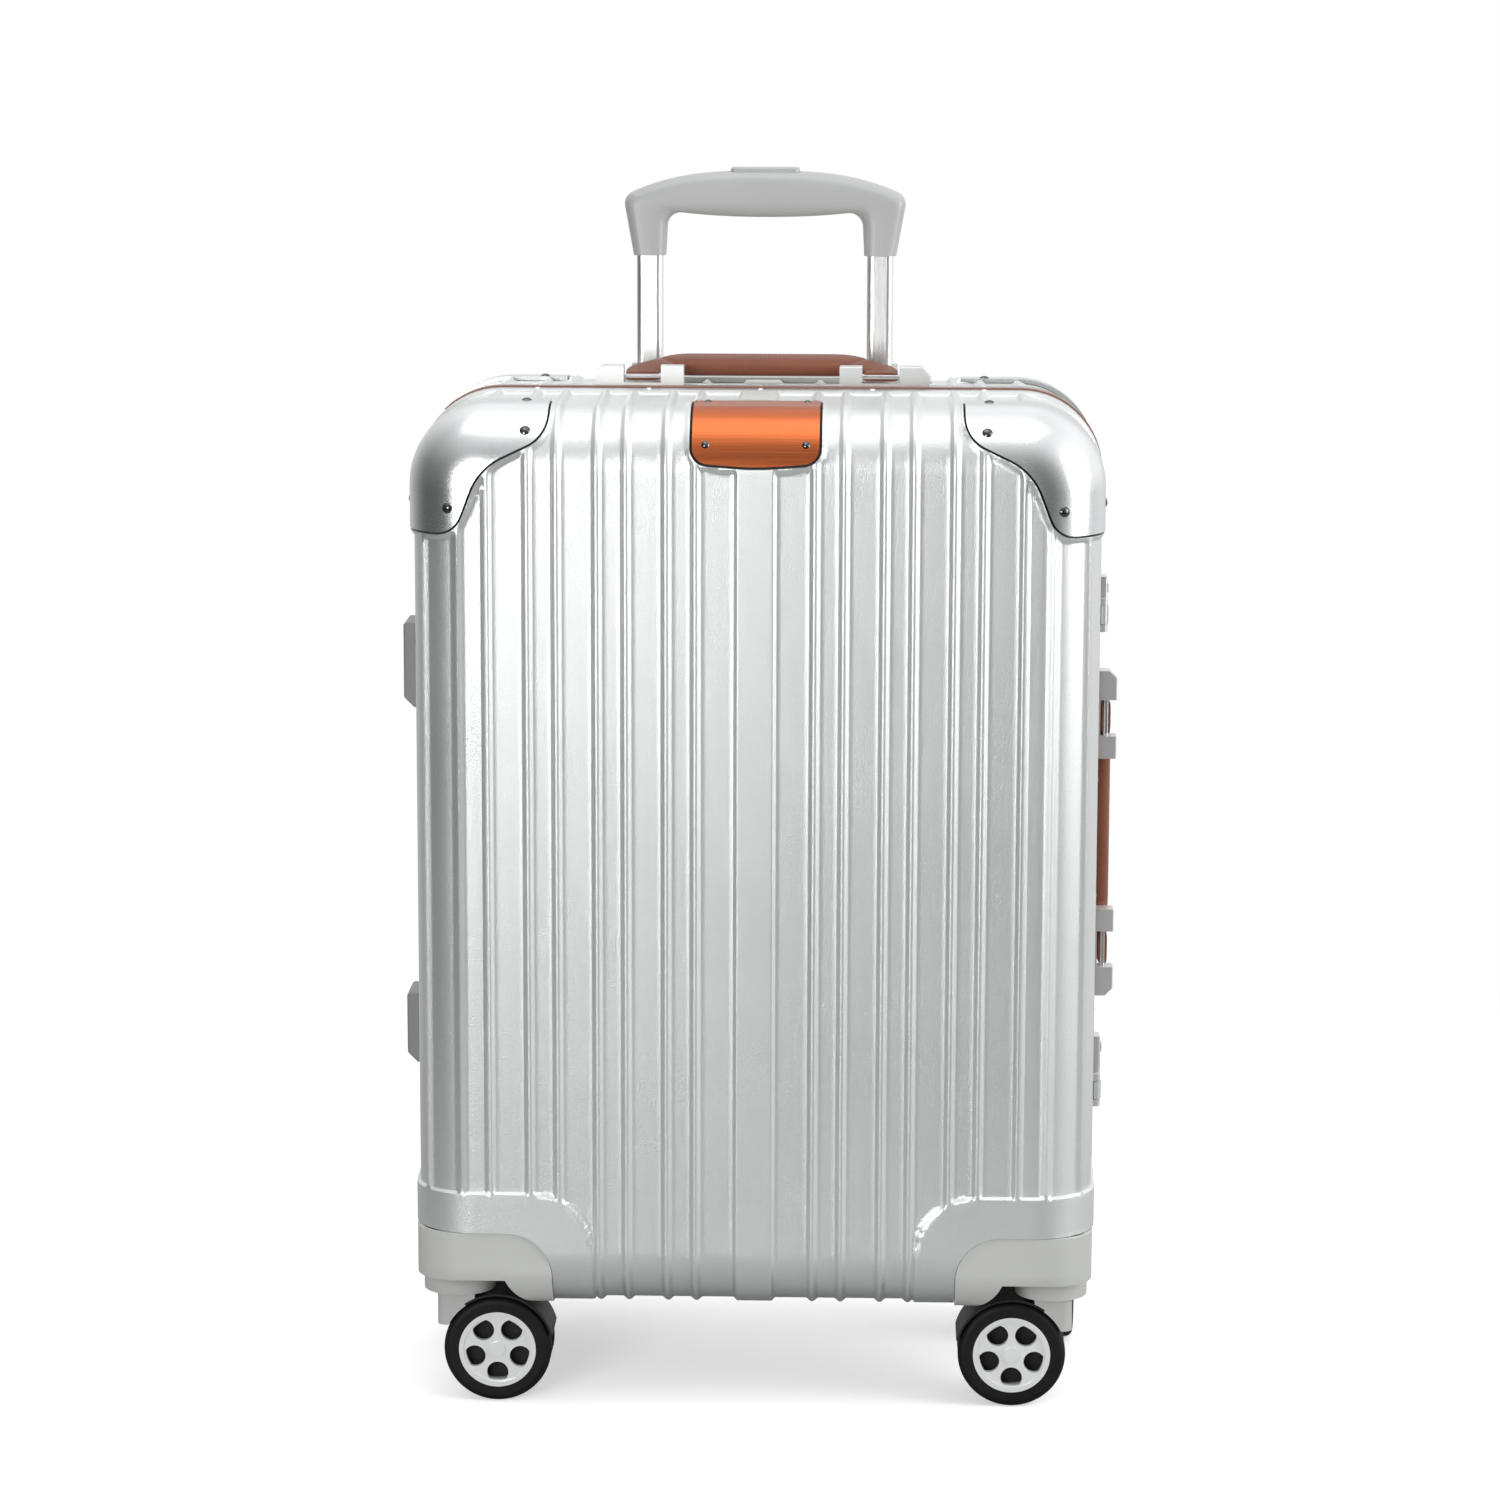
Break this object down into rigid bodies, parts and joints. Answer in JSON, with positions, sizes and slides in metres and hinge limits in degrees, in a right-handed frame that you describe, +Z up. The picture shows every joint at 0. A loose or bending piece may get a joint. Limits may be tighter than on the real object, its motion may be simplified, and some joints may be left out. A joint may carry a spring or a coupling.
{
  "type": "hard shell suitcase on wheels",
  "caption": "Hard shell cabin suitcase with ribbed halves in a latched aluminium frame, telescopic trolley, carry handles and twin-wheel swivel casters.",
  "frame": {"origin": "on the floor, in the middle between the wheels, under the split of the case", "axes": "+X to the right seen from the front, +Y to the back where the trolley is, +Z up"},
  "size_m": [0.408, 0.2258, 0.679],
  "materials": {
    "silver_shell": "satin metallic",
    "frame_aluminium": "satin anodised",
    "guard_aluminium": "satin",
    "rivet_chrome": "polished",
    "brown_seal": "matte",
    "grey_plastic": "satin",
    "black_plastic": "satin",
    "tube_aluminium": "brushed",
    "grip_grey": "satin",
    "steel": "brushed",
    "bracket_silver": "satin",
    "brown_leather": "grained",
    "lining_fabric": "woven",
    "copper_plate": "brushed",
    "tyre_black": "matte",
    "hub_silver": "silver paint"
  },
  "bodies": {
    "rear_half": {"rear_shell": "silver_shell", "rear_frame": "frame_aluminium", "rear_rivets": "rivet_chrome", "frame_seal": "brown_seal", "rear_guards": "guard_aluminium", "rear_cups": "grey_plastic", "trolley_bezel": "grey_plastic", "trolley_outer_tubes": "tube_aluminium", "trolley_base": "black_plastic", "handle_brackets": "bracket_silver", "handle_pins": "steel", "side_feet": "grey_plastic", "hinge_rear_leaves": "steel", "hinge_pins": "steel", "lock_bodies": "bracket_silver", "rear_lining": "lining_fabric"},
    "front_half": {"front_shell": "silver_shell", "front_frame": "frame_aluminium", "front_rivets": "rivet_chrome", "front_guards": "guard_aluminium", "front_cups": "grey_plastic", "name_plate": "copper_plate", "hinge_front_leaves": "steel", "hasp_bases": "bracket_silver", "front_lining": "lining_fabric"},
    "upper_hasp": {"upper_hasp": "bracket_silver"},
    "lower_hasp": {"lower_hasp": "bracket_silver"},
    "upper_lock_button": {"upper_lock_button": "bracket_silver"},
    "lower_lock_button": {"lower_lock_button": "bracket_silver"},
    "lock_dial_1": {"lock_dial_1": "black_plastic"},
    "lock_dial_2": {"lock_dial_2": "black_plastic"},
    "lock_dial_3": {"lock_dial_3": "black_plastic"},
    "trolley_middle": {"trolley_mid_tubes": "tube_aluminium", "trolley_mid_collars": "grey_plastic"},
    "trolley_handle": {"trolley_inner_tubes": "tube_aluminium", "trolley_grip": "grip_grey"},
    "trolley_release": {"trolley_button": "grip_grey", "trolley_release_bar": "steel"},
    "top_handle": {"top_handle": "brown_leather"},
    "side_handle": {"side_handle": "brown_leather"},
    "front_left_swivel": {"front_left_fork": "black_plastic", "front_left_hood": "grey_plastic"},
    "front_left_wheels": {"front_left_axle": "steel", "front_left_tyres": "tyre_black", "front_left_hubs": "hub_silver"},
    "front_right_swivel": {"front_right_fork": "black_plastic", "front_right_hood": "grey_plastic"},
    "front_right_wheels": {"front_right_axle": "steel", "front_right_tyres": "tyre_black", "front_right_hubs": "hub_silver"},
    "rear_left_swivel": {"rear_left_fork": "black_plastic", "rear_left_hood": "grey_plastic"},
    "rear_left_wheels": {"rear_left_axle": "steel", "rear_left_tyres": "tyre_black", "rear_left_hubs": "hub_silver"},
    "rear_right_swivel": {"rear_right_fork": "black_plastic", "rear_right_hood": "grey_plastic"},
    "rear_right_wheels": {"rear_right_axle": "steel", "rear_right_tyres": "tyre_black", "rear_right_hubs": "hub_silver"}
  },
  "joints": [
    {"name": "lid_hinge", "type": "hinge", "parent": "rear_half", "child": "front_half", "pos_m": [-0.1883, 0, 0.309], "axis": [0, 0, -1], "range_deg": [0, 90]},
    {"name": "upper_hasp_pivot", "type": "hinge", "parent": "front_half", "child": "upper_hasp", "pos_m": [0.1921, -0.011, 0.4356], "axis": [0, 0, -1], "range_deg": [0, 100]},
    {"name": "upper_lock_slide", "type": "slide", "parent": "rear_half", "child": "upper_lock_button", "axis": [0, 0, 1], "range_m": [0, 0.0025], "stiffness_N_per_m": 150},
    {"name": "lower_hasp_pivot", "type": "hinge", "parent": "front_half", "child": "lower_hasp", "pos_m": [0.1921, -0.011, 0.1631], "axis": [0, 0, -1], "range_deg": [0, 100]},
    {"name": "lower_lock_slide", "type": "slide", "parent": "rear_half", "child": "lower_lock_button", "axis": [0, 0, 1], "range_m": [0, 0.0025], "stiffness_N_per_m": 150},
    {"name": "dial_1_spin", "type": "hinge", "parent": "rear_half", "child": "lock_dial_1", "pos_m": [0.1923, 0.00985, 0.1717], "axis": [0, 0, 1], "continuous": true},
    {"name": "dial_2_spin", "type": "hinge", "parent": "rear_half", "child": "lock_dial_2", "pos_m": [0.1923, 0.00985, 0.1753], "axis": [0, 0, 1], "continuous": true},
    {"name": "dial_3_spin", "type": "hinge", "parent": "rear_half", "child": "lock_dial_3", "pos_m": [0.1923, 0.00985, 0.1789], "axis": [0, 0, 1], "continuous": true},
    {"name": "trolley_lower_stage", "type": "slide", "parent": "rear_half", "child": "trolley_middle", "axis": [0, 0, 1], "range_m": [0, 0.23]},
    {"name": "trolley_upper_stage", "type": "slide", "parent": "trolley_middle", "child": "trolley_handle", "axis": [0, 0, 1], "range_m": [-0.061, 0.15]},
    {"name": "trolley_button_press", "type": "slide", "parent": "trolley_handle", "child": "trolley_release", "axis": [0, 0, -1], "range_m": [0, 0.003], "stiffness_N_per_m": 900},
    {"name": "top_handle_swing", "type": "hinge", "parent": "rear_half", "child": "top_handle", "pos_m": [0, 0.0096, 0.5661], "axis": [1, 0, 0], "range_deg": [-9, 84]},
    {"name": "side_handle_swing", "type": "hinge", "parent": "rear_half", "child": "side_handle", "pos_m": [0.1951, 0.0096, 0.308], "axis": [0, 0, -1], "range_deg": [0, 94]},
    {"name": "front_left_caster_swivel", "type": "hinge", "parent": "front_half", "child": "front_left_swivel", "pos_m": [-0.1655, -0.0725, 0.062], "axis": [0, 0, 1], "continuous": true},
    {"name": "front_left_wheel_spin", "type": "hinge", "parent": "front_left_swivel", "child": "front_left_wheels", "pos_m": [-0.1435, -0.0725, 0.03], "axis": [0, 1, 0], "continuous": true},
    {"name": "front_right_caster_swivel", "type": "hinge", "parent": "front_half", "child": "front_right_swivel", "pos_m": [0.1655, -0.0725, 0.062], "axis": [0, 0, 1], "continuous": true},
    {"name": "front_right_wheel_spin", "type": "hinge", "parent": "front_right_swivel", "child": "front_right_wheels", "pos_m": [0.1435, -0.0725, 0.03], "axis": [0, 1, 0], "continuous": true},
    {"name": "rear_left_caster_swivel", "type": "hinge", "parent": "rear_half", "child": "rear_left_swivel", "pos_m": [-0.1655, 0.0725, 0.062], "axis": [0, 0, 1], "continuous": true},
    {"name": "rear_left_wheel_spin", "type": "hinge", "parent": "rear_left_swivel", "child": "rear_left_wheels", "pos_m": [-0.1655, 0.0505, 0.03], "axis": [1, 0, 0], "continuous": true},
    {"name": "rear_right_caster_swivel", "type": "hinge", "parent": "rear_half", "child": "rear_right_swivel", "pos_m": [0.1655, 0.0725, 0.062], "axis": [0, 0, 1], "continuous": true},
    {"name": "rear_right_wheel_spin", "type": "hinge", "parent": "rear_right_swivel", "child": "rear_right_wheels", "pos_m": [0.1655, 0.0505, 0.03], "axis": [1, 0, 0], "continuous": true}
  ]
}
